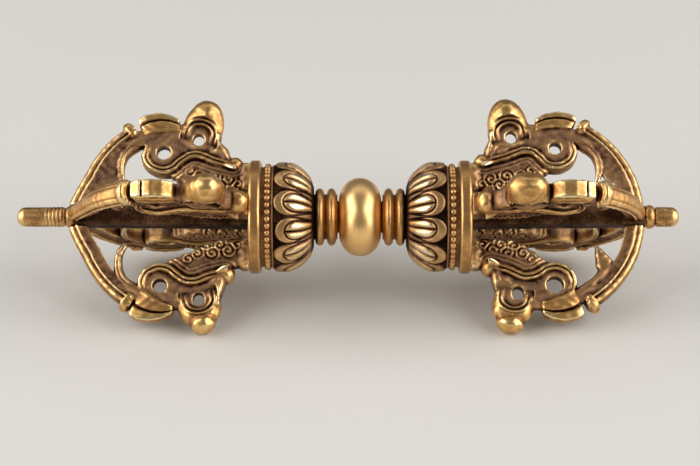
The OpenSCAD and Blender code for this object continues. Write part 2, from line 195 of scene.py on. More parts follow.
def cast_brass(name, colours, gloss, grime):
    """Brass cast in a lost-wax mould, chased, and rubbed by hands for years.

    The eye sees dark brown oxide in the recesses, satin pink-brown brass on the faces and bright yellow
    metal on the rubbed edges, with blotches of tarnish, casting grain, and hair scratches under the polish.
    Colours and gloss are stops of colour and roughness over wear, and grime is how far tarnish shifts wear.
    """
    material = bpy.data.materials.new(name)
    material.use_nodes = True
    tree = material.node_tree
    tree.nodes.clear()
    place = add(tree, "ShaderNodeTexCoord", {}).outputs["Object"]
    wear = add(tree, "ShaderNodeAttribute", {"attribute_name": "wear"}).outputs["Fac"]
    gold = add(tree, "ShaderNodeAttribute", {"attribute_name": "gold"}).outputs["Fac"]

    # Wear, shifted by the tarnish and half as much by the grain
    blotch = add(tree, "ShaderNodeTexNoise", {"Scale": 1 / (BLOTCH_W * MM), "Detail": 4.0, "Roughness": 0.6},
                 {"Vector": place})
    grain = add(tree, "ShaderNodeTexNoise", {"Scale": 1 / (GRAIN_W * MM), "Detail": 3.0, "Roughness": 0.6},
                {"Vector": place})
    noise_span = {"From Min": 0.3, "From Max": 0.7}
    spread = add(tree, "ShaderNodeMapRange", {**noise_span, "To Min": -grime, "To Max": grime},
                 {"Value": blotch.outputs["Fac"]})
    speck = add(tree, "ShaderNodeMapRange", {**noise_span, "To Min": -0.5 * grime, "To Max": 0.5 * grime},
                {"Value": grain.outputs["Fac"]})
    mottle = add(tree, "ShaderNodeMath", {"operation": "ADD"},
                 {0: spread.outputs["Result"], 1: speck.outputs["Result"]})
    level = add(tree, "ShaderNodeMath", {"operation": "ADD", "use_clamp": True},
                {0: wear, 1: mottle.outputs["Value"]})

    # Colour and roughness by wear, with a yellower colour where the piece is gold. A mix of colours has its
    # share in socket 0 and the colours in 6 and 7, and gives the mixed one as output 2
    colour = stops(add(tree, "ShaderNodeValToRGB", {}, {"Fac": level.outputs["Value"]}), colours)
    yellow = {"data_type": "RGBA", "blend_type": "MULTIPLY", 7: (1.0, 0.92, 0.74, 1.0)}
    warm = add(tree, "ShaderNodeMix", yellow, {0: gold, 6: colour.outputs["Color"]})
    roughness = stops(add(tree, "ShaderNodeValToRGB", {}, {"Fac": level.outputs["Value"]}), gloss)

    # Skin: the grain, and scratches four times as long as wide
    slant = add(tree, "ShaderNodeMapping", {"Scale": (0.25, 1.0, 1.0), "Rotation": (0.4, 0.3, 0.5)},
                {"Vector": place})
    hairs = {"Scale": 1 / (SCRATCH_W * MM), "Detail": 2.0, "Distortion": 1.5}
    scratch = add(tree, "ShaderNodeTexNoise", hairs, {"Vector": slant.outputs["Vector"]})
    skin = add(tree, "ShaderNodeMath", {"operation": "ADD"},
               {0: grain.outputs["Fac"], 1: scratch.outputs["Fac"]})
    bump = add(tree, "ShaderNodeBump", {"Strength": 0.25, "Distance": SKIN_DEPTH * MM},
               {"Height": skin.outputs["Value"]})
    shader = add(tree, "ShaderNodeBsdfPrincipled", {"Metallic": 1.0}, {
        "Base Color": warm.outputs[2],
        "Roughness": roughness.outputs["Color"],
        "Normal": bump.outputs["Normal"],
    })
    add(tree, "ShaderNodeOutputMaterial", {}, {"Surface": shader.outputs["BSDF"]})
    return material


AGED = cast_brass(
    "aged_cast_brass",
    [(0.0, "#1f110a"), (0.12, "#49301f"), (0.28, "#7e5e48"), (0.45, "#a57e5a"), (0.62, "#c99d69"),
     (0.8, "#e6c187"), (1.0, "#f8e6bd")],
    [(0.0, 0.7), (0.4, 0.48), (0.65, 0.36), (1.0, 0.26)],
    0.12)
POLISHED = cast_brass(
    "polished_brass",
    [(0.0, "#2c190c"), (0.35, "#80572e"), (0.6, "#f8c681"), (0.85, "#fee0aa"), (1.0, "#fff0cc")],
    [(0.0, 0.6), (0.5, 0.36), (1.0, 0.3)],
    0.07)
DARKENED = cast_brass(
    "darkened_brass",
    [(0.0, "#1a0d07"), (0.3, "#452e1f"), (0.6, "#7d5d44"), (0.85, "#c49c6c"), (1.0, "#e8c894")],
    [(0.0, 0.7), (0.5, 0.55), (1.0, 0.32)],
    0.2)


# Turned pieces

# How uneven a filed ring is, how far from the bore that starts, and how many points either way make the
# average that wear is measured from
FILED = 0.02
BORE_WALL = 0.3
AVERAGE_REACH = 9


def arc(station, radius, reach_a, reach_r, start, stop, steps):
    """Points of an ellipse round a station and radius, from one angle to another."""
    turn = np.radians(np.linspace(start, stop, steps))
    return np.stack([station + reach_a * np.cos(turn), radius + reach_r * np.sin(turn)], -1)


def rounded(corners, radius, steps):
    """Closed outline of straight runs whose corners are parabolas.

    A parabola leaves each run at a radius from its corner, or at most at 0.45 of the run.
    """
    before = np.roll(corners, 1, 0) - corners
    after = np.roll(corners, -1, 0) - corners
    length_before = np.linalg.norm(before, axis=1, keepdims=True)
    length_after = np.linalg.norm(after, axis=1, keepdims=True)
    start = corners + before / length_before * np.minimum(radius, 0.45 * length_before)
    end = corners + after / length_after * np.minimum(radius, 0.45 * length_after)
    s = np.linspace(0, 1, steps)[None, :, None]
    bend = (1 - s) ** 2 * start[:, None] + 2 * s * (1 - s) * corners[:, None] + s ** 2 * end[:, None]
    return bend.reshape(-1, 2)


def turned(name, end, outline, columns, finish, rub=0.57, gold=0.8):
    """Revolves a closed outline of stations and radii about X.

    The radius is uneven by a few hundredths of a millimetre, as a filed ring is. Wear is how far the
    outline stands over its own average along a few points, over how much hands rub the piece.
    """
    station, radius = outline.T
    turn = np.linspace(0, 2 * np.pi, columns, endpoint=False)
    uneven = FILED * np.sin(3 * turn + station[:, None]) * np.sin(2 * turn - 0.7 * station[:, None])
    outside = np.where(radius > BORE_R + BORE_WALL, 1.0, 0.0)[:, None]
    reach = radius[:, None] + outside * (uneven - FILED)
    points = revolved(station[:, None], reach, turn)
    near_by = range(-AVERAGE_REACH, AVERAGE_REACH + 1)
    lift = radius - sum(np.roll(radius, k) for k in near_by) / len(near_by)
    wear = np.repeat((rub + 0.5 * np.clip(lift, -1, 0.6))[:, None], columns, 1)
    piece(name, at_end(points, end), quads_of(len(station), columns), wear, gold, finish)


def hub_bead():
    """Bead: a little over half an ellipse turned about the axis, with a narrow foot on either side."""
    neck = HUB_R - HUB_HALF
    foot = 0.35
    over = 4
    belly = arc(0, neck, HUB_HALF - foot, HUB_HALF, 180 + over, -over, 72)
    ends = np.array([[HUB_HALF, neck], [HUB_HALF, BORE_R], [-HUB_HALF, BORE_R], [-HUB_HALF, neck]])
    outline = np.concatenate([belly, ends])
    turned("hub_bead", "right", outline, 192, POLISHED, rub=0.62, gold=0.55)


def crested_ring(start, width, top, height, half, shoulder, inner, steps):
    """Outline of a ring: half an ellipse of a height and half length up to the top radius, on a sleeve.

    The sleeve reaches from an inner radius to a shoulder, which lies a little under the ellipse's foot.
    """
    low = top - height
    end = start + width
    crest = arc(start + width / 2, low, half, height, 180, 0, steps)
    sleeve = np.array([[end, low - shoulder], [end, inner], [start, inner], [start, low - shoulder]])
    return np.concatenate([crest, sleeve])


def neck_ring(end, name, start):
    """Ring: a round crest that falls into a half groove on either side, on a sleeve over the tang."""
    outline = crested_ring(start, RING_W, RING_R, height=1.35, half=1.05,
                           shoulder=0.05, inner=BORE_R, steps=40)
    turned(f"{end}_{name}_ring", end, outline, 160, AGED)


def tip_ring(end):
    """Ring at the prong tips: a round crest between two low shoulders."""
    outline = crested_ring(TIP_RING_A, TIP_RING_W, TIP_RING_R[end], height=0.45, half=TIP_RING_W / 2 - 0.1,
                           shoulder=0, inner=SPIKE_R + FIT, steps=24)
    turned(f"{end}_tip_ring", end, outline, 96, AGED)


def moon_disc(end):
    """Disc: a thick plate with a rounded rim."""
    corners = np.array([[DISC_A, BORE_R], [DISC_A, DISC_R], [FOOT_A, DISC_R], [FOOT_A, BORE_R]])
    outline = rounded(corners, radius=0.9, steps=12)
    turned(f"{end}_moon_disc", end, outline, 224, AGED, rub=0.46)


def central_prong(end):
    """Central prong: at each station a section whose radius is half over (|cos|^p + |sin|^p)^(1/p).

    The power p is 2 on the round tang and spike and 10 on the square shaft, which turns its flats to the
    prongs. The left spike has fine ribs turned near its root. Both ends close on a point.
    """
    tip = SPIKE_END[end]
    hair = 0.01
    tang = np.array([[FIT, TINY], [FIT, TANG_R], [FOOT_A - hair, TANG_R], [FOOT_A, TANG_R]])
    along = np.linspace(FOOT_A, TIP_RING_A, 90)
    half = np.interp(along, [FOOT_A, TIP_RING_A], [SHAFT_BASE / 2, SHAFT_TOP / 2])
    shaft = np.stack([along, half], -1)

    # Spike: slim inside the tip ring, swelled past it, ribbed on the left, and tapered
    reach = np.linspace(TIP_RING_A + hair, tip - NOSE, 90)
    past = reach - (TIP_RING_A + TIP_RING_W)
    rib_height, rib_pitch = 0.07, 0.85
    ribs = rib_height * np.sin(2 * np.pi * past / rib_pitch)
    ribs = ribs * smooth_step(past, 0.2, 0.8) * (1 - smooth_step(past, 4.2, 5.4))
    swell = 0.4 * smooth_step(past, 0.0, 0.6)
    taper_drop, taper_len = 0.1, 12
    taper = taper_drop * np.clip(past, 0, taper_len) / taper_len
    slim = SPIKE_R - 0.1
    spike = np.stack([reach, slim + swell + (ribs if end == "left" else 0) - taper], -1)
    nose = arc(tip - NOSE, 0, NOSE, spike[-1, 1], 90, 0.3, 18)

    outline = np.concatenate([tang, shaft, [[TIP_RING_A, SPIKE_R]], spike, nose])
    station, half = outline[:, :1], outline[:, 1:]
    square = (station >= FOOT_A) & (station <= TIP_RING_A) & (half > SPIKE_R + 0.1)
    power = np.where(square, 10.0, 2.0)
    turn = np.linspace(0, 2 * np.pi, 96, endpoint=False)
    side = turn - np.pi / 4
    radius = half / (np.abs(np.cos(side)) ** power + np.abs(np.sin(side)) ** power) ** (1 / power)
    rows, columns = radius.shape
    faces = quads_of(rows, columns)[:(rows - 1) * columns]

    # The free spike is rubbed, more so on the right, and the shaft only on its edges
    on_edge = np.where(square, radius / half - 1.0, 0.3)
    free = smooth_step(station, TIP_RING_A, TIP_RING_A + 2)
    rubbed = 0.5 if end == "left" else 0.62
    wear = 0.25 + 0.5 * on_edge * (1 - free) + rubbed * free + 0.25 * smooth_step(station, tip - 3, tip)
    wear += np.gradient(np.gradient(outline[:, 1]))[:, None] * -3 * free
    gold = np.broadcast_to(0.3 + 0.7 * free, radius.shape).ravel()
    points = at_end(revolved(station, radius, turn), end)
    piece(f"{end}_central_prong", points, faces, wear, gold, DARKENED)


# Lotus collar and pearl band


def pillow(distance, reach):
    """Rounded relief: a quarter circle that rises from 0 on an outline to 1 at a reach inside it."""
    return np.sqrt(np.clip(1 - (1 - np.clip(distance / reach, 0, 1)) ** 2, 0, 1))


def petal_outline(t, across, spread, width, shoulder, tip):
    """Distance inside a petal outline, in millimetres.

    The outline's half width is a share of the spread of a petal, narrower at the root. It ends in half an
    ellipse between its shoulder and its tip, which are shares of the collar's length.
    """
    half = width * spread
    narrow = 0.72 + 0.28 * np.sin(np.pi / 2 * np.clip(t / shoulder, 0, 1))
    past = np.clip(t - shoulder, 0, None) / (tip - shoulder)
    return (1 - np.hypot(across / (half * narrow), past)) * half


def lotus_collar(end):
    """Lotus: the radius at a share t along the dome and q across a petal is dome(t) plus the petal's relief.

    The relief is a round rim between an outer and an inner outline, two lobes either side of the middle
    inside them, and a narrow lobe that shows between two petals. Dark lines are left between.
    """
    rows, columns = 96, PETALS * 64
    share = np.linspace(0, 1, rows)[:, None]
    turn = np.linspace(0, 360, columns, endpoint=False)[None, :]
    dome = LOTUS_NECK_R + (LOTUS_RIM_R - LOTUS_NECK_R) * (1 - (1 - np.minimum(1, share / 0.8)) ** 2) ** 0.8

    # Each petal leans, bends and ends a little differently, as it was cut by hand
    petal = np.floor(turn * PETALS / 360)
    q = 2 * ((turn * PETALS / 360) % 1) - 1
    q = q + (0.1 * np.sin(2.4 * petal + 1) + 0.05 * np.sin(5 * share + 1.7 * petal)) * (1 - q ** 2)
    t = share * (1 + 0.03 * np.sin(4.1 * petal) * (1 - q ** 2))
    spread = np.pi / PETALS * dome
    across = np.abs(q) * spread

    outer = petal_outline(t, across, spread, 0.96, 0.6, 1.0)
    inner = petal_outline(t, across, spread, 0.72, 0.42, 0.74)
    root = smooth_step(t, 0.0, 0.08)
    rim = pillow(np.minimum(outer, -inner), 0.5) * smooth_step(t, 0.2, 0.5)
    lobe = pillow(np.minimum(inner, across - 0.02), 0.95) * root
    joint = pillow(np.minimum(-outer, 0.5), 0.45) * root * (1 - smooth_step(t, 0.55, 0.8))
    relief = np.maximum(np.maximum(lobe, 0.62 * rim), 0.5 * joint)
    radius = np.minimum(dome - 0.25 + 1.35 * PETAL_RELIEF * relief, DISC_R - FIT)
    station = np.broadcast_to(LOTUS_A + LOTUS_LEN * share, radius.shape)
    inside = [[BAND_A, SPIGOT_R], [DISC_A, SPIGOT_R], [DISC_A, BORE_R], [LOTUS_A, BORE_R]]
    station, radius = closed_inside(station, radius, inside)
    hand = -1 if end == "left" else 1
    points = revolved(station, radius, np.radians(turn + hand * (45 + LOTUS_TURN)))
    shown = np.maximum(np.maximum(lobe, 0.8 * rim), 0.6 * joint)
    wear = np.concatenate([0.01 + 0.97 * shown ** 2, np.zeros((len(inside), columns))])
    faces = quads_of(len(station), columns)
    piece(f"{end}_lotus_collar", at_end(points, end), faces, wear, 0.0, AGED)


def pearl_band(end):
    """Pearl band: at each point the radius is the floor's plus the low rim and the nearest pearl's ball."""
    across = np.linspace(-BAND_W / 2, BAND_W / 2, 56)[:, None]
    columns = PEARLS * 20
    turn = np.linspace(0, 2 * np.pi, columns, endpoint=False)[None, :]
    pitch = 2 * np.pi / PEARLS
    along = ((turn / pitch) % 1 - 0.5) * pitch * BAND_R
    ball = np.sqrt(np.clip(PEARL_R ** 2 - across ** 2 - along ** 2, 0, None)) / PEARL_R
    rim = smooth_step(-across, 0.85, 1.05) * (1 - smooth_step(-across, 1.3, 1.5))
    radius = BAND_R - 0.12 + PEARL_R * 1.05 * ball ** 0.9 + 0.4 * rim
    station = np.broadcast_to(BAND_A + BAND_W / 2 + across, radius.shape)
    inside = [[DISC_A, SPIGOT_R + FIT], [BAND_A, SPIGOT_R + FIT]]
    station, radius = closed_inside(station, radius, inside)
    points = revolved(station, radius, turn)
    wear = np.concatenate([0.3 + 0.42 * ball ** 0.7 + 0.2 * rim, np.zeros((len(inside), columns))])
    faces = quads_of(len(station), columns)
    piece(f"{end}_pearl_band", at_end(points, end), faces, wear, 0.5, AGED)


# Makara prong: fields over the prong's plane u, v and its width w, negative inside the metal

STEP = 0.17


def around(middle, radius, angle):
    """Point of the prong's plane at a distance and angle from a middle."""
    heading = math.radians(angle)
    return np.array(middle) + radius * np.array([math.cos(heading), math.sin(heading)])


def cage_point(angle, depth):
    """Point by its angle round the cage circle and its depth inside it."""
    return around((CAGE_U, 0), CAGE_R - depth, angle)


# Middles of the head's parts in the plane, and their radii and half widths
HEAD_ANGLE = 101.5
CURL_R = 3.0
MIDDLES = {
    "boss": np.array([3.35, 12.2]),
    "curl": cage_point(HEAD_ANGLE, 0.1),
    "hood": cage_point(HEAD_ANGLE, 3.9),
    "loop": cage_point(HEAD_ANGLE, 6.2),
    "jaw": cage_point(72, 8),
    "lip": np.array([12.9, 14.45]),
}
FOOT_MID = 9.1
FOOT_U, FOOT_V, FOOT_W = 2.3, 3.3, 2.6
HOOD_U, HOOD_V, HOOD_W = 4.65, 7.0, 2.9
ARCH_DROP, ARCH_U, ARCH_V = 1.3, 4.5, 3.7
LOOP_HOLE_R = 1.3
JAW_R = 4.3
JAW_HOLE_R = 1.6
SCROLL_PITCH = 1.05
# Distance from the axis to the plane that the curls rest on, and how far they are kept inside it
REST_REACH = MIDDLES["curl"][1] * math.sqrt(0.5) + CURL_R
REST_INSET = 0.001
# Angles round the cage of the snout's ends, of the collar and of where the blade starts to run out to its tip
SNOUT_START, SNOUT_END = 86, 63.5
COLLAR_ANGLE = 57.5
TIP_FADE = 23
# Depths inside the cage circle: of the snout's underside, with its slope, and of the blade's inner edge
SNOUT_BLOCK = (3.9, -1.1)
BLADE_D = 4.4

# Scrolls on the leaf: middle, radius and hand
LEAF_SCROLLS = (
    ((4.6, 8.3), 2.4, 1),
    ((8.2, 8.9), 2.4, -1),
    ((6.5, 6.9), 2.2, 1),
    ((11.6, 9.0), 2.0, 1),
    ((9.7, 7.3), 1.9, -1),
    ((2.6, 7.0), 1.8, -1),
    ((13.6, 10.2), 1.6, -1),
)
# Depth of the snout's ridge over the share of its half length, from its back to its front
SNOUT_RIDGE = ((-1.0, 2.0), (-0.5, 0.6), (0.0, -0.25), (0.55, -0.6), (0.9, -0.4), (1.0, 0.1))
# Half width of the snout over the share of its depth, with a groove a third of the way down
SNOUT_WIDTH = (
    (-0.1, 1.5), (0.0, 1.85), (0.1, 2.0), (0.25, 2.1), (0.32, 2.05), (0.36, 1.5), (0.42, 1.5), (0.46, 2.1),
    (0.6, 2.25), (0.8, 2.3), (0.92, 2.5), (1.0, 2.4))
# Share of the blade's half width over its depth, with a rib along its flank
BLADE_WIDTH = (
    (-0.2, 0.72), (0.4, 0.86), (1.3, 0.94), (1.65, 0.82), (2.15, 1.1), (2.6, 0.8), (3.4, 0.66), (6.5, 0.4))
# End of the tusk: rows of a place, a half width and a half thickness
TUSK_HOOK = [[29.4, 11.8, 1.0, 1.5], [29.0, 8.8, 0.65, 1.0], [28.3, 7.2, 0.25, 0.5]]
# How much wear a rubbed place gains, and how gold the blade's back is
SHINE = 0.14
BACK_GOLD = 0.6

# Each head was cut by hand, and a row says how it differs:
# boss, curl, hood, loop, jaw and lip shift the middles of those parts
# snout and collar turn those parts round the cage, and lens is how far the snout's front stands out more
# block is the depth of the snout's underside and its slope, and slit the place of a notch across its ridge
# dome and width are the hood's height and half width, and square the power of its outline
# knob is the half width and half length of a flattened curl, and bead the boss's size over the usual one
# hole is the radius of the hole in the jaw, hook the end of the tusk, and flat a tusk without a groove
# fill is how far the blade fills the gap to the tusk, and tip how far its tip runs out over the tip ring
# rub gain and back take the place of SHINE and BACK_GOLD. On the front upper prongs they paint shade on the
# chased faces and a highlight on the blade's back, which is also polished yellower
HAND_CUT = {
    "left_back_upper": {
        "boss": (0.4, -0.6), "curl": (0.25, 0), "hood": (0.5, 0), "loop": (0.85, -0.5), "jaw": (-0.2, -1.3),
        "lip": (-0.1, -0.5), "block": (4.6, -0.7), "fill": 3.4, "tip": 2.3},
    "left_back_lower": {"tip": 2.3},
    # Painted light: the last two keys paint shade on this front prong's chased faces and a highlight on its
    # blade's back
    "left_front_upper": {
        "boss": (-0.7, 0), "curl": (-1.1, 0), "hood": (-1.0, 0), "loop": (-1.0, 0), "snout": 1, "collar": 2,
        "slit": 0.4, "width": 3.7, "bead": 1.4, "tip": 2.3, "rub_gain_and_painted_light": 0.26, "back": 0.87},
    "left_front_lower": {
        "boss": (2.0, 1.1), "curl": (0.6, 0), "hood": (0.5, 0.4), "loop": (0.3, 1.2), "jaw": (0.15, 0.4),
        "lip": (0.4, 0.8), "snout": -2, "lens": 0.8, "block": (4.4, 0.9), "dome": 4.2, "square": 2.8,
        "knob": (2.9, 2.3), "tip": 2.3,
        "hook": [[29.4, 11.8, 1.0, 1.5], [29.2, 8.8, 0.9, 1.2], [28.2, 6.9, 0.75, 0.9]]},
    "right_back_upper": {
        "boss": (-0.2, 0.1), "curl": (-1.3, 0), "hood": (-1.6, 0.4), "loop": (-1.5, 0.1), "jaw": (-0.4, -0.3),
        "lip": (0.3, 0.5), "snout": 3, "collar": 4, "fill": 2.0, "hole": 1.4},
    # Painted light: the last two keys paint shade on this front prong's chased faces and a highlight on its
    # blade's back
    "right_front_upper": {
        "curl": (1.6, -0.2), "hood": (1.4, 0), "loop": (1.2, 0), "snout": -2, "collar": -3, "slit": 0.5,
        "square": 3, "width": 3.95, "bead": 1.25, "rub_gain_and_painted_light": 0.26, "back": 0.87},
    "right_front_lower": {
        "boss": (1.0, -0.6), "curl": (-1.0, 0), "hood": (-1.2, 0), "loop": (-0.5, -0.2), "jaw": (-1.1, 0.2),
        "lip": (0, -0.3), "snout": 1, "collar": 1, "block": (5.2, 0.6), "dome": 4.1, "square": 3,
        "knob": (3.2, 2.1), "hole": 1.95, "flat": True,
        "hook": [[29.8, 13.0, 1.5, 1.6], [30.0, 11.2, 2.0, 1.3], [29.1, 9.0, 1.3, 1.0],
                 [28.2, 6.7, 0.3, 0.6]]},
}

# Grid of the fields. It holds one half of a prong, with one layer past the middle plane
U = np.arange(-2 * STEP, CAGE_END + 2, STEP, dtype=np.float32)[:, None, None]
V = np.arange(1.6, 28.8, STEP, dtype=np.float32)[None, :, None]
W = np.arange(-STEP, 4.4, STEP, dtype=np.float32)[None, None, :]
SIDE = np.abs(W)
DEPTH = CAGE_R - np.hypot(U - CAGE_U, V)
ANGLE = np.degrees(np.arctan2(V, U - CAGE_U))
PLANE = tuple(axis.reshape(-1, 1) for axis in np.broadcast_arrays(U[:, :, 0], V[:, :, 0]))
PLANE_SHAPE = (U.shape[0], V.shape[1], 1)
# Corners of a cell of the grid
CORNERS = np.array([[i, j, k] for i in (0, 1) for j in (0, 1) for k in (0, 1)])


def blend(a, b, k):
    """Union of two fields with a fillet about k wide."""
    h = np.clip(0.5 + 0.5 * (b - a) / k, 0, 1)
    return b + (a - b) * h - k * h * (1 - h)


def carve(a, b, k):
    """Field a with field b cut out of it, with an edge rounded about k wide."""
    return -blend(-a, b, k)


def meet(a, b, k):
    """Overlap of two fields, with an edge rounded about k wide."""
    return -blend(-a, -b, k)


def bump_line(offset, width):
    """Bell of height 1 on a line, from the offset to it."""
    return np.exp(-(offset / width) ** 2)


def ellipsoid(u, v, w, a, b, c):
    """Distance to an ellipsoid, from the lengths of the point over the radii and over their squares."""
    once = np.sqrt((u / a) ** 2 + (v / b) ** 2 + (w / c) ** 2) + 1e-6
    twice = np.sqrt((u / a ** 2) ** 2 + (v / b ** 2) ** 2 + (w / c ** 2) ** 2) + 1e-6
    return once * (once - 1) / twice


def curve(rows, steps=14):
    """Smooth curve through control rows: cubics that leave each row along the chord of its neighbours."""
    rows = np.array(rows, float)
    a, b = np.concatenate([rows[:1], rows[:-2]]), rows[:-1]
    c, d = rows[1:], np.concatenate([rows[2:], rows[-1:]])
    t = np.linspace(0, 1, steps, endpoint=False)[None, :, None]
    a, b, c, d = (r[:, None] for r in (a, b, c, d))
    second, third = 2 * a - 5 * b + 4 * c - d, 3 * b - a - 3 * c + d
    points = 0.5 * (2 * b + (c - a) * t + second * t ** 2 + third * t ** 3)
    return np.concatenate([points.reshape(-1, rows.shape[1]), rows[-1:]])


def to_runs(starts, runs):
    """Offsets of the plane's points from the starts of straight runs, shares along them, and distances."""
    du, dv = PLANE[0] - starts[:, 0], PLANE[1] - starts[:, 1]
    share = np.clip((du * runs[:, 0] + dv * runs[:, 1]) / (runs[:, 0] ** 2 + runs[:, 1] ** 2), 0, 1)
    return du, dv, share, np.hypot(du - share * runs[:, 0], dv - share * runs[:, 1])


def near(rows):
    """Signed offset from a curve, share of the way along it, and its half width and half thickness there."""
    path = curve(rows).astype(np.float32)
    starts, runs = path[:-1], np.diff(path, axis=0)
    du, dv, share, away = to_runs(starts, runs)
    best = np.argmin(away, axis=1)
    pick = np.arange(len(best))
    sign = np.sign(runs[best, 0] * dv[pick, best] - runs[best, 1] * du[pick, best])
    at = share[pick, best][:, None]
    sizes = starts[best, 2:4] + at * runs[best, 2:4]
    along = (best + at[:, 0]) / len(starts)
    return [g.reshape(PLANE_SHAPE) for g in (sign * away[pick, best], along, sizes[:, 0], sizes[:, 1])]


def band(offset, half, thick, power):
    """Field of a band whose section is a superellipse of a half width and a half thickness."""
    size = ((np.abs(offset) / half) ** power + (SIDE / thick) ** power) ** (1 / power)
    once = np.sqrt((offset / half) ** 2 + (SIDE / thick) ** 2)
    twice = np.sqrt((offset / half ** 2) ** 2 + (SIDE / thick ** 2) ** 2)
    steep = twice / np.maximum(once, TINY)
    return (size - 1) / np.maximum(steep, TINY)


def slab(outline):
    """Signed distance in the plane to a closed polygon, negative inside."""
    starts = np.array(outline, np.float32)
    ends = np.roll(starts, -1, 0)
    runs = ends - starts
    du, dv, _, away = to_runs(starts, runs)
    above, next_above = dv > 0, (PLANE[1] - ends[:, 1]) > 0
    left = (runs[:, 0] * dv - runs[:, 1] * du) > 0
    crossing = (above & ~next_above & ~left).astype(int) - (~above & next_above & left).astype(int)
    inside = crossing.sum(1) != 0
    away = away.min(1)
    return np.where(inside, -away, away).reshape(PLANE_SHAPE)


def scroll(middle, radius, hand):
    """Relief of a spiral: a wave of the distance from a middle that slips by a pitch a turn and fades."""
    du, dv = U - middle[0], V - middle[1]
    away = np.hypot(du, dv)
    wave = np.cos(2 * np.pi * away / SCROLL_PITCH - hand * np.arctan2(dv, du))
    return wave * (1 - smooth_step(away, 0.6 * radius, radius))


def lip_of(spots):
    """Lip: a band from the boss over its apex and round under the jaw, with a groove along its flanks.

    Also gives the offset from the band's middle, the groove and the band's rows.
    """
    boss, apex, jaw = spots["boss"], spots["lip"], spots["jaw"]
    chin = around(jaw, JAW_R, 244)
    rows = [
        [*boss, 1.0, 2.4],
        [*((boss + apex) / 2 + [-0.5, -0.2]), 1.1, 2.65],
        [*(apex + [-1.5, 0.0]), 1.1, 2.8],
        [*(apex + [0.8, -0.05]), 1.1, 2.8],
        [*((apex + chin) / 2 + [0.5, 0.1]), 1.1, 2.8],
        [*chin, 1.1, 2.8],
        [*around(jaw, JAW_R, 278), 1.1, 2.7],
        [*around(jaw, JAW_R, 315), 1.1, 2.6],
        [*around(jaw, JAW_R - 0.1, 350), 1.0, 2.4],
        [*around(jaw, JAW_R - 0.5, 385), 0.8, 2.0],
    ]
    offset, _, half, thick = near(rows)
    groove = bump_line(offset - 0.05, 0.2) * smooth_step(SIDE, 1.3, 2.0)
    return band(offset, half, thick, 3) + 0.5 * groove, offset, groove, rows


def foot_block():
    """Foot: a block on the moon disc whose edges are rounded as a superellipsoid of power 4."""
    u, v, w = np.abs(U) / FOOT_U, np.abs(V - FOOT_MID) / FOOT_V, SIDE / FOOT_W
    return ((u ** 4 + v ** 4 + w ** 4) ** 0.25 - 1) * FOOT_U


def boss_of(spots, size):
    """Boss: a bead on the head's back, and a crescent, which is a roll bent round the bead's root."""
    boss_u, boss_v = spots["boss"]
    over = U - boss_u + 0.4
    boss = ellipsoid(over, V - boss_v - 0.2, W, 1.9 * size, 2.1 * size, 2.6)
    ring = np.hypot(over / 2.7, W / 3.0)
    crescent = np.hypot((ring - 1) * 2.8, V - boss_v - 0.8 + 1.3 * (SIDE / 3.0) ** 2) - 0.55
    return boss, np.maximum(crescent, boss_u - 0.6 - U)


def leaf_of(spots, from_lip):
    """Leaf: a band from the foot to the chin with a knobbed edge, two lines along the lip, and scrolls."""
    loop, jaw = spots["loop"], spots["jaw"]
    offset, along, half, thick = near([
        [0.4, FOOT_MID, 2.6, 2.2],
        [4.9, FOOT_MID - 0.2, 3.3, 2.5],
        [*around(loop, 8.2, 265), 3.7, 2.5],
        [*around(jaw, JAW_R + 1.4, 227), 2.5, 2.4],
        [*around(jaw, JAW_R + 0.1, 262), 0.7, 2.0],
    ])
    knobs = 0.16 * np.sin(2 * np.pi * 8 * along) * smooth_step(-offset, 1.5, 3)
    lines = sum(bump_line(from_lip + away, 0.26) for away in (1.8, 2.65))
    leaf = band(offset, half + knobs, thick - 0.25, 4) - 0.22 * lines
    scrolls = sum(scroll(*each) for each in LEAF_SCROLLS)
    return leaf - 0.2 * np.clip(scrolls, -1, 1) * smooth_step(-from_lip, 2.8, 3.5)


def nape_of(spots):
    """Nape: a band from the boss up the back of the loop, grooved on its flanks. Also gives its rows."""
    boss, loop = spots["boss"], spots["loop"]
    rows = [
        [boss[0] + 0.6, boss[1], 0.9, 1.8],
        [*((boss + around(loop, 3, 195)) / 2), 1.6, 2.3],
        [*around(loop, 3.9, 192), 1.3, 2.4],
        [*around(loop, 4.2, 168), 0.9, 2.3],
    ]
    offset, along, half, thick = near(rows)
    groove = bump_line(offset, 0.25) * smooth_step(SIDE, 0.9, 1.5) * (1 - smooth_step(along, 0.7, 0.9))
    return band(offset, half, thick, 2.6) + 0.25 * groove, rows


def brow_of(spots):
    """Brow: a band from the loop under the snout to the blade. Also gives its rows."""
    rows = [
        [*around(spots["loop"], 3.2, 30), 2.0, 2.0],
        [*cage_point(88, 5.2), 2.0, 2.0],
        [*cage_point(76, 4.3), 1.7, 2.0],
        [*cage_point(66, 4.0), 1.6, 2.1],
        [*cage_point(57, 3.6), 1.9, 2.1],
        [*cage_point(49.5, 2.8), 1.2, 1.8],
    ]
    offset, _, half, thick = near(rows)
    return band(offset, half, thick, 3), rows


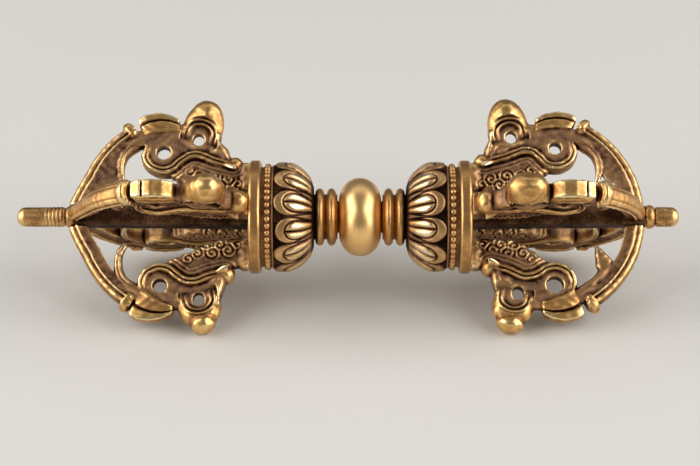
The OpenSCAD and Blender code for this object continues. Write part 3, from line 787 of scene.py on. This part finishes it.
def hood_of(spots, cut):
    """Hood: a dome that leans from its middle to the curl, blended with the curl at its top.

    The dome is an ellipsoid whose outline may be squared. Also gives the arch, which is 1 on an ellipse under
    the hood and grows outwards, and the height over the line that the arch springs from.
    """
    middle, top = spots["hood"], spots["curl"]
    gap = np.linalg.norm(top - middle)
    lean = (top - middle) / gap
    rise = (U - middle[0]) * lean[0] + (V - middle[1]) * lean[1]
    across = (U - middle[0]) * lean[1] - (V - middle[1]) * lean[0]
    square, tall = cut.get("square", 2), cut.get("dome", HOOD_V)
    round_reach = np.maximum(np.hypot(across, rise * HOOD_U / tall), TINY)
    boxy = (np.abs(across) ** square + np.abs(rise * HOOD_U / tall) ** square) ** (1 / square)
    dome = ellipsoid(across * boxy / round_reach, rise * boxy / round_reach, W, HOOD_U, tall,
                     cut.get("width", HOOD_W))

    # However flat the curl is, it touches the same rest plane
    wide, long = cut.get("knob", (CURL_R, CURL_R))
    high = gap + CURL_R * math.sqrt(2) - math.hypot(long, CURL_R)
    curl = ellipsoid(across, rise - high, W, wide, long, CURL_R)
    over = rise + ARCH_DROP
    arch = np.hypot(across / ARCH_U, np.maximum(over, 0) / ARCH_V)
    return blend(dome, curl, 0.5 if "knob" in cut else 0.9), arch, over


def snout_of(cut):
    """Snout: a block along the cage between its ridge and its underside, grooved along, with level ends."""
    radius = CAGE_R - 1.8
    middle = (SNOUT_START + SNOUT_END) / 2 + cut.get("snout", 0)
    run = np.radians(middle - ANGLE) * radius
    reach = np.radians(SNOUT_START - SNOUT_END) / 2 * radius
    ridge = np.interp(run / reach, *zip(*SNOUT_RIDGE)) - cut.get("lens", 0) * (1 + run / reach) / 2
    deep, slope = cut.get("block", SNOUT_BLOCK)
    under = deep + slope * run / reach
    share = (DEPTH - ridge) / np.maximum(under - ridge, 1)
    width = np.interp(share, *zip(*SNOUT_WIDTH)) * (1 - 0.15 * np.abs(run / reach) ** 4)
    snout = meet(SIDE - width, meet(ridge - DEPTH, DEPTH - under, 0.3), 0.3)
    snout = meet(snout, np.abs(run) - reach, 0.5)
    if "slit" in cut:
        snout = carve(snout, np.maximum(np.abs(run - cut["slit"] * reach) - 0.2, DEPTH - 0.4), 0.2)
    return snout


def collar_of(angle):
    """Collar: a bead round the blade's root, with a superellipsoid's section of power 3."""
    half = 1.15
    run = np.abs(np.radians(angle - ANGLE) * (CAGE_R - 2.3))
    around_blade = np.hypot((DEPTH - 1.5) / 2.6, W / 2.85)
    collar = ((around_blade ** 3 + (run / half) ** 3) ** (1 / 3) - 1) * half
    return np.where(run < 3, collar, 1.0)


def blade_of(cut, root):
    """Blade: runs from the angle of its root to the tip ring, with a rounded back and a rib along its flank.

    Also gives the depth inside the blade's back.
    """
    share = np.clip(ANGLE / root, 0.02, 1.1)
    half = (2.6 + 2.4 * share ** 0.7) / 2
    deep = BLADE_D + cut.get("fill", 0) * bump_line(ANGLE - 31, 12)
    depth = DEPTH + cut.get("tip", 0) * np.clip(1 - ANGLE / TIP_FADE, 0, 1) ** 1.2
    flank = (SIDE - half * np.interp(depth, *zip(*BLADE_WIDTH))) * 0.9
    back = 0.8 * (W / half) ** 2 + 0.12 * bump_line(SIDE - 0.55 * half, 0.17)
    blade = np.maximum(flank, np.maximum(back - depth, depth - deep))
    return np.maximum(blade, np.maximum(ANGLE - root - 3, -3 - ANGLE) * 0.4), depth


def tusk_of(cut):
    """Tusk: a band along the brow that hooks in to the cage, with a groove on its flanks."""
    offset, _, half, thick = near([
        [*cage_point(70, 4.3), 1.2, 1.9],
        [*cage_point(58, 4.7), 1.2, 1.9],
        [*cage_point(47, 4.7), 1.15, 1.7],
        *cut.get("hook", TUSK_HOOK),
    ])
    tusk = band(offset, half, thick, 2.4)
    if "flat" in cut:
        return tusk
    return tusk + 0.25 * bump_line(offset, 0.22) * smooth_step(SIDE, 0.4, 0.9)


def prong_field(cut):
    """Field of the whole prong, and a field of how its places are rubbed.

    The second field is 1 on the boss, cap, snout and the crests of lip and arch, which hands rub bright, and
    less on the collar and the blade's back. On the front upper prongs the blade's back is raised, partly as a
    painted highlight.
    """
    spots = {key: middle + np.array(cut.get(key, (0, 0))) for key, middle in MIDDLES.items()}
    root = COLLAR_ANGLE + cut.get("collar", 0)
    lip, from_lip, groove, lip_rows = lip_of(spots)
    boss, crescent = boss_of(spots, cut.get("bead", 1))
    leaf = leaf_of(spots, from_lip)
    nape, nape_rows = nape_of(spots)
    cheek = ellipsoid(U - 7.4, V - 14.9, W, 2.6, 1.9, 2.45)
    brow, brow_rows = brow_of(spots)
    web = np.maximum(slab([row[:2] for row in nape_rows + brow_rows + lip_rows[:0:-1]]), SIDE - 1.9)
    hood, arch, over = hood_of(spots, cut)
    snout = snout_of(cut)
    collar = collar_of(root)
    blade, depth = blade_of(cut, root)
    tusk = tusk_of(cut)

    # The face under the arch lies back, with two ridges along the arch, and the cap stands proud of it
    ridges = 0.75 * bump_line(arch - 0.6, 0.09) + 1.1 * bump_line(arch - 0.86, 0.11)
    flank = 1.4 + 2.6 * smooth_step(arch, 0.92, 1.15) + ridges * smooth_step(over, -2.4, 0.6)
    flank = flank + 1.2 * (1 - smooth_step(over, -3.8, -1.6)) + 3 * (1 - smooth_step(from_lip, 0.2, 0.9))

    body = foot_block()
    for part, fillet in ((leaf, 0.8), (nape, 0.5), (cheek, 0.5), (web, 0.6), (brow, 0.5), (hood, 0.6)):
        body = blend(body, part, fillet)
    body = meet(body, SIDE - flank, 0.2)
    for part, fillet in ((lip, 0.3), (crescent, 0.3), (boss, 0.2), (tusk, 0.4), (blade, 0.3), (snout, 0.25),
                         (collar, 0.2)):
        body = blend(body, part, fillet)
    ripple = np.sin(1.7 * U + 1.3 * np.sin(1.3 * V + 0.9 * W))
    ripple = ripple * np.sin(1.9 * V + 1.1 * np.sin(1.7 * W + 0.8 * U))
    body = body + 0.06 * ripple
    loop, jaw = spots["loop"], spots["jaw"]
    body = carve(body, np.hypot(U - loop[0], (V - loop[1]) / 1.15) - LOOP_HOLE_R, 0.35)
    body = carve(body, np.hypot(U - jaw[0], V - jaw[1]) - cut.get("hole", JAW_HOLE_R), 0.35)

    # Cuts: the rest plane, the moon disc, and the seat on the shaft and past it on the tip ring
    body = np.maximum(body, (V + SIDE) * math.sqrt(0.5) - REST_REACH + REST_INSET)
    seat = SHAFT_BASE / 2 + (SHAFT_TOP - SHAFT_BASE) / 2 * U / CAGE_END + FIT
    seat = np.where(U > CAGE_END - FIT, TIP_RING_R["left"] + FIT, seat)
    body = np.maximum(np.maximum(body, -U), seat - V)

    cap = np.maximum(hood, (0.95 - arch) * 3)
    tops = np.minimum(np.minimum(boss, cap), snout)
    backs = np.minimum(collar, np.maximum(blade, depth - 2.3))
    gold_back = cut.get("back", BACK_GOLD) * (1 - smooth_step(backs, 0.05, 0.6))
    rubbed = np.maximum(1 - smooth_step(tops, 0.05, 0.6), gold_back)
    lip_crest = (1 - smooth_step(lip, 0.0, 0.25)) * smooth_step(SIDE, 1.7, 2.3) * (1 - groove)
    arch_crest = smooth_step(ridges, 0.55, 0.9) * smooth_step(over, -2.4, 0.0)
    return body, np.maximum(rubbed, np.maximum(lip_crest, arch_crest))


def skin(field, start):
    """Points and quads of the surface where a field is zero.

    Each cell with corners on both sides gets one point, the average of the crossings on its twelve edges.
    Each grid edge that crosses the surface gets the quad of its four cells. The points then slide down the
    field onto zero. They are given in grid units and, from the grid's start, in millimetres.
    """
    inside = field < 0
    size = np.array(field.shape)
    last = size - 1
    count = sum(inside[i:last[0] + i, j:last[1] + j, k:last[2] + k].astype(np.int8) for i, j, k in CORNERS)
    mixed = (count > 0) & (count < 8)
    cells = np.argwhere(mixed)
    number = np.full(mixed.shape, -1)
    number[mixed] = np.arange(len(cells))
    value = np.stack([field[tuple((cells + c).T)] for c in CORNERS], 1)
    pairs = [(a, b) for a in range(8) for b in range(a + 1, 8)]
    edges = [(a, b) for a, b in pairs if np.abs(CORNERS[a] - CORNERS[b]).sum() == 1]
    total, hits = np.zeros((len(cells), 3)), np.zeros((len(cells), 1))
    for a, b in edges:
        fa, fb = value[:, a], value[:, b]
        cross = ((fa < 0) != (fb < 0))[:, None]
        share = (fa / np.where(fa == fb, 1, fa - fb))[:, None]
        total += np.where(cross, CORNERS[a] + share * (CORNERS[b] - CORNERS[a]), 0)
        hits += cross
    points = cells + total / hits

    faces = []
    for axis in range(3):
        other = [n for n in range(3) if n != axis]
        low = np.take(inside, range(size[axis] - 1), axis)
        high = np.take(inside, range(1, size[axis]), axis)
        place = np.argwhere(low != high)
        place = place[np.all((place[:, other] > 0) & (place[:, other] < size[other] - 1), axis=1)]
        shift = np.eye(3, dtype=int)[other]
        ring = [place - shift[0] - shift[1], place - shift[1], place, place - shift[0]]
        quad = np.stack([number[tuple(r.T)] for r in ring], 1)
        flip = low[tuple(place.T)] == (axis == 1)
        quad[flip] = quad[flip][:, ::-1]
        faces.append(quad)

    slope = np.stack(np.gradient(field), -1)
    for _ in range(2):
        here, tilt = sample(field, points), sample(slope, points)
        length = np.maximum((tilt ** 2).sum(1, keepdims=True), 1e-4)
        points = points - np.clip(here[:, None] * tilt / length, -0.5, 0.5)
    return points, np.concatenate(faces), np.array(start) + STEP * points


def sample(grid, points):
    """Value of a grid at points in grid units, by linear interpolation between its eight nearest cells."""
    low = np.clip(np.floor(points).astype(int), 0, np.array(grid.shape[:3]) - 2)
    share = points - low
    value = 0
    for corner in CORNERS:
        weight = np.abs(1 - corner - share).prod(1)
        value = value + (weight if grid.ndim == 3 else weight[:, None]) * grid[tuple((low + corner).T)]
    return value


def blurred(grid, reach):
    """A grid averaged three times over a box of a reach either way, by running sums along each axis."""
    span = 2 * reach + 1
    for axis in (0, 1, 2) * 3:
        pad = [(reach + 1, reach) if n == axis else (0, 0) for n in range(3)]
        total = np.cumsum(np.pad(grid, pad, mode="edge"), axis=axis, dtype=np.float64)
        upper = np.take(total, range(span, total.shape[axis]), axis)
        lower = np.take(total, range(total.shape[axis] - span), axis)
        grid = (upper - lower) / span
    return grid


def makara_prong(end, side):
    """One prong's surface, set in its place round the axis.

    Wear comes from how much metal lies near a point: less than half in a neighbourhood on an edge, more in
    a recess. Rubbed places gain some. On the front upper prongs the places that are not rubbed lose some as
    painted shade, and the blade's back gains a painted highlight.
    """
    name = f"{end}_{side}"
    cut = HAND_CUT.get(name, {})
    halves = [half.astype(np.float32) for half in prong_field(cut)]
    field, rubbed = (np.concatenate([half[:, :, :1:-1], half[:, :, 1:]], 2) for half in halves)
    at, faces, points = skin(field, [U[0, 0, 0], V[0, 0, 0], -W[0, 0, -1]])
    u, v, w = points.T
    metal = np.clip(0.5 - field / STEP, 0, 1)
    fine, broad = sample(blurred(metal, 2), at), sample(blurred(metal, 6), at)
    open_air = smooth_step(np.hypot(u - CAGE_U, v), 10, CAGE_R)
    wear = 0.4 + 2.1 * (0.5 - fine) + 0.9 * (0.42 - broad) + 0.05 * open_air
    gold = sample(rubbed, at)
    # On the front upper prongs this paints shade on the places that are not rubbed and a highlight on the
    # blade's back
    rub_gain_and_painted_light = cut.get("rub_gain_and_painted_light", SHINE)
    wear = wear + rub_gain_and_painted_light * smooth_step(gold, 0.6, 1.0) - (rub_gain_and_painted_light - SHINE)
    turn = math.radians((-1 if end == "left" else 1) * PRONG_TURN[side])
    y = math.cos(turn) * v - math.sin(turn) * w
    z = math.sin(turn) * v + math.cos(turn) * w
    placed = at_end(np.stack([u + FOOT_A, y, z], -1), end)
    piece(f"{name}_prong", placed, faces, wear, gold, AGED)


hub_bead()
for end in ("left", "right"):
    for side in PRONG_TURN:
        makara_prong(end, side)
    neck_ring(end, "inner", HUB_HALF)
    neck_ring(end, "outer", HUB_HALF + RING_W)
    lotus_collar(end)
    pearl_band(end)
    moon_disc(end)
    central_prong(end)
    tip_ring(end)


# Floor, light and camera

FLOOR_Z = -REST_REACH * MM
FLOOR_REACH = 3.0


def studio_floor():
    """Level sheet of matt pale paper under the curls that the vajra rests on."""
    paper = bpy.data.materials.new("matt_pale_paper")
    paper.use_nodes = True
    shader = paper.node_tree.nodes["Principled BSDF"]
    shader.inputs["Base Color"].default_value = linear("#d9d6d0")
    shader.inputs["Roughness"].default_value = 0.9
    shader.inputs["Specular IOR Level"].default_value = 0.1
    mesh = bpy.data.meshes.new("floor")
    corners = [(x * FLOOR_REACH, y * FLOOR_REACH, FLOOR_Z) for x, y in ((-1, -1), (1, -1), (1, 1), (-1, 1))]
    mesh.from_pydata(corners, [], [(0, 1, 2, 3)])
    mesh.materials.append(paper)
    floor = bpy.data.objects.new("floor", mesh)
    bpy.context.scene.collection.objects.link(floor)


def softbox(name, place, width, height, power):
    """Soft rectangular lamp that faces the hub bead."""
    lamp = bpy.data.lights.new(name, "AREA")
    lamp.shape = "RECTANGLE"
    lamp.size, lamp.size_y, lamp.energy = width, height, power
    obj = bpy.data.objects.new(name, lamp)
    obj.location = place
    obj.rotation_euler = (-Vector(place)).to_track_quat("-Z", "Y").to_euler()
    bpy.context.scene.collection.objects.link(obj)


def studio_light():
    """Two broad soft lamps wide of the camera, a weak one above and behind, and a dim grey room.

    Places and sizes are in metres and powers in watts.
    """
    for name, side in (("left_lamp", -1), ("right_lamp", 1)):
        softbox(name, (side * 0.68, -0.16, 0.36), 1.0, 0.9, 7.6)
    softbox("top_lamp", (0.0, 0.5, 0.9), 1.4, 0.5, 1.4)
    world = bpy.data.worlds.new("studio")
    world.use_nodes = True
    sky = world.node_tree.nodes["Background"]
    sky.inputs["Color"].default_value = linear("#c9c7c4")
    sky.inputs["Strength"].default_value = 0.3
    bpy.context.scene.world = world


def camera():
    """Camera thirty degrees above the vajra's front, with the hub bead where the photograph has it.

    The bead lies some pixels right of and above the photograph's middle.
    """
    distance = 0.55
    elevation = math.radians(30)
    photo_width_px = 700
    mm_per_px = 0.2259
    hub_right_px, hub_up_px = 10, 16
    right = Vector((1, 0, 0))
    up = Vector((0, math.sin(elevation), math.cos(elevation)))
    back = Vector((0, -math.cos(elevation), math.sin(elevation)))
    aim = -(right * hub_right_px + up * hub_up_px) * mm_per_px * MM
    lens = bpy.data.cameras.new("camera")
    lens.sensor_width = 36
    lens.lens = lens.sensor_width * distance / (photo_width_px * mm_per_px * MM)
    lens.clip_end = 20
    obj = bpy.data.objects.new("camera", lens)
    obj.location = aim + back * distance
    obj.rotation_euler = back.to_track_quat("Z", "Y").to_euler()
    bpy.context.scene.collection.objects.link(obj)
    bpy.context.scene.camera = obj


studio_floor()
studio_light()
camera()
bpy.context.scene.view_settings.view_transform = "Standard"
